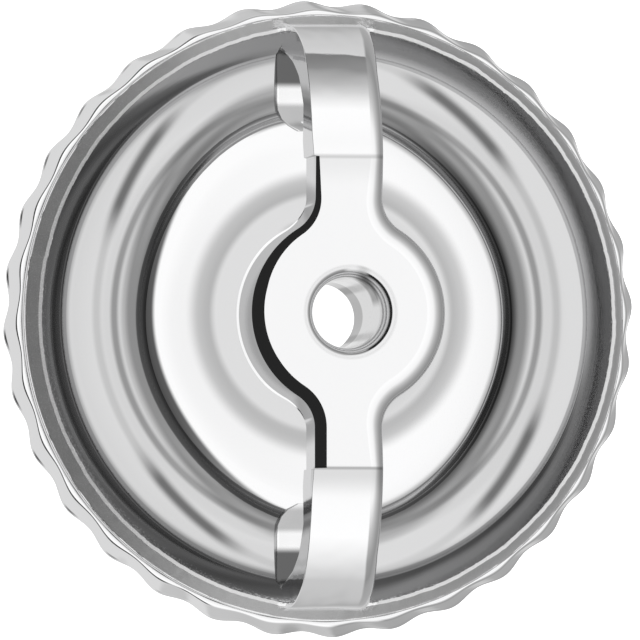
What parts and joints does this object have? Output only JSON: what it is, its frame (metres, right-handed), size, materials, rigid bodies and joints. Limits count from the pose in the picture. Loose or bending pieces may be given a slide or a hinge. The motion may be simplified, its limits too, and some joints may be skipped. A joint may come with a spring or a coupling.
{
  "type": "stud earring setting",
  "caption": "Round cup-shaped stud earring setting with a twisted rope edge, a plain bezel in front and a soldered bridge across the back that carries the post hole.",
  "frame": {"origin": "on the axis of the post hole, at the level of the bezel's flat edge on the front, which the setting rests on", "axes": "+Z along the post hole towards the back of the earring, with the bridge up; Y along the bridge's strap; X across it"},
  "size_m": [0.0092, 0.0092, 0.0035],
  "materials": {
    "polished_white_metal": "rhodium-plated silver, mirror polished on the bridge, satin in the cup, filed at the lip"
  },
  "bodies": {
    "root": {"setting_body": "polished_white_metal", "rope_edge": "polished_white_metal"}
  },
  "joints": []
}
